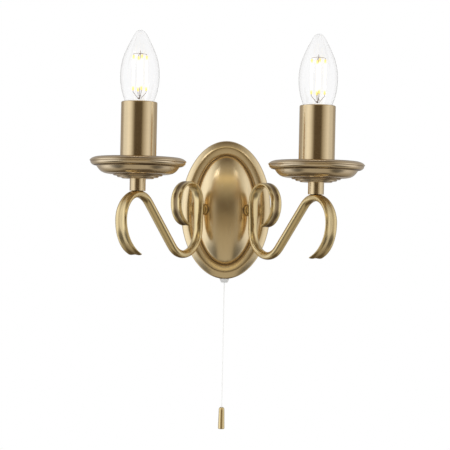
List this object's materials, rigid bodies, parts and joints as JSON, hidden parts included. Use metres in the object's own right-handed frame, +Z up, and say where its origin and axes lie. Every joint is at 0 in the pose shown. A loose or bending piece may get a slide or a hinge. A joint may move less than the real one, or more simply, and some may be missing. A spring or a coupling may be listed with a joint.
{
  "type": "double arm wall sconce",
  "caption": "Wall light with two candle lamps standing in drip pans on scrolled arms, from an oval domed back plate, switched by a pull cord with a small weight.",
  "frame": {"origin": "middle of the two wall screw slots, in the plane of the wall", "axes": "+X to the right along the wall, -Y out of the wall towards the viewer, +Z up"},
  "size_m": [0.2442, 0.157, 0.3693],
  "materials": {
    "antique_brass": "brushed antique brass, lacquered",
    "pull_brass": "satin brass",
    "contact_brass": "bright brass",
    "zinc_steel": "bright zinc",
    "nickel": "nickel",
    "holder_plastic": "moulded thermoset",
    "white_plastic": "moulded nylon",
    "guide_plastic": "milky nylon",
    "clear_glass": "clear",
    "stem_glass": "clear",
    "black_glass": "vitrite",
    "filament_phosphor": "phosphor coated, glowing",
    "flex_pvc": "soft vinyl",
    "white_cord": "braided nylon"
  },
  "bodies": {
    "root": {"back_plate": "antique_brass", "cord_guide": "guide_plastic", "earth_screw": "contact_brass", "guide_nut": "guide_plastic", "left_arm": "antique_brass", "left_arm_flex": "flex_pvc", "left_boss": "antique_brass", "left_boss_nut": "zinc_steel", "left_boss_washer": "zinc_steel", "left_candle_tube": "antique_brass", "left_collar": "antique_brass", "left_holder_body": "holder_plastic", "left_holder_contact": "contact_brass", "left_holder_shell": "contact_brass", "left_nipple": "zinc_steel", "left_pan": "antique_brass", "left_pan_nut": "zinc_steel", "return_spring": "zinc_steel", "right_arm": "antique_brass", "right_arm_flex": "flex_pvc", "right_boss": "antique_brass", "right_boss_nut": "zinc_steel", "right_boss_washer": "zinc_steel", "right_candle_tube": "antique_brass", "right_collar": "antique_brass", "right_holder_body": "holder_plastic", "right_holder_contact": "contact_brass", "right_holder_shell": "contact_brass", "right_nipple": "zinc_steel", "right_pan": "antique_brass", "right_pan_nut": "zinc_steel", "side_screws": "antique_brass", "switch_body": "white_plastic", "switch_contacts": "contact_brass", "switch_cover": "white_plastic", "switch_leads": "flex_pvc", "terminal_block": "white_plastic", "terminal_screws": "contact_brass", "wall_bracket": "zinc_steel"},
    "switch_slide": {"switch_slider": "white_plastic", "inner_cord": "white_cord"},
    "rotor": {"switch_rotor": "white_plastic"},
    "hanging_cord": {"pull_cord": "white_cord", "cord_knot": "white_cord", "cord_pull": "pull_brass"},
    "left_lamp_envelope": {"left_lamp_glass": "clear_glass"},
    "left_lamp_core": {"left_lamp_cap": "nickel", "left_lamp_insulator": "black_glass", "left_lamp_contact": "contact_brass", "left_lamp_stem": "stem_glass", "left_lamp_wires": "nickel", "left_lamp_filaments": "filament_phosphor"},
    "right_lamp_envelope": {"right_lamp_glass": "clear_glass"},
    "right_lamp_core": {"right_lamp_cap": "nickel", "right_lamp_insulator": "black_glass", "right_lamp_contact": "contact_brass", "right_lamp_stem": "stem_glass", "right_lamp_wires": "nickel", "right_lamp_filaments": "filament_phosphor"}
  },
  "joints": [
    {"name": "cord_pull_slide", "type": "slide", "parent": "root", "child": "switch_slide", "axis": [0, 0, -1], "range_m": [0, 0.006], "stiffness_N_per_m": 600, "springref_m": -0.004, "deforming": ["return_spring"]},
    {"name": "rotor_turn", "type": "hinge", "parent": "root", "child": "rotor", "pos_m": [0, -0.0076, -0.0205], "axis": [0, 1, 0], "range_deg": [0, 90.5]},
    {"name": "cord_swing", "type": "hinge", "parent": "switch_slide", "child": "hanging_cord", "pos_m": [0, -0.0055, -0.0705], "axis": [0, 1, 0], "range_deg": [-25, 25]},
    {"name": "left_lamp_rise", "type": "slide", "parent": "root", "child": "left_lamp_envelope", "axis": [0, 0, 1], "range_m": [0, 0.0113]},
    {"name": "left_lamp_turn", "type": "hinge", "parent": "left_lamp_envelope", "child": "left_lamp_core", "pos_m": [-0.0791, -0.112, 0.057], "axis": [0, 0, 1], "range_deg": [0, 1440]},
    {"name": "right_lamp_rise", "type": "slide", "parent": "root", "child": "right_lamp_envelope", "axis": [0, 0, 1], "range_m": [0, 0.0113]},
    {"name": "right_lamp_turn", "type": "hinge", "parent": "right_lamp_envelope", "child": "right_lamp_core", "pos_m": [0.0791, -0.112, 0.057], "axis": [0, 0, 1], "range_deg": [0, 1440]}
  ],
  "couplings": [
    {"joint": "rotor_turn", "follows": "cord_pull_slide", "rad_per_m": 261.8},
    {"joint": "left_lamp_rise", "follows": "left_lamp_turn", "m_per_rad": 0.00044882},
    {"joint": "right_lamp_rise", "follows": "right_lamp_turn", "m_per_rad": 0.00044882}
  ]
}
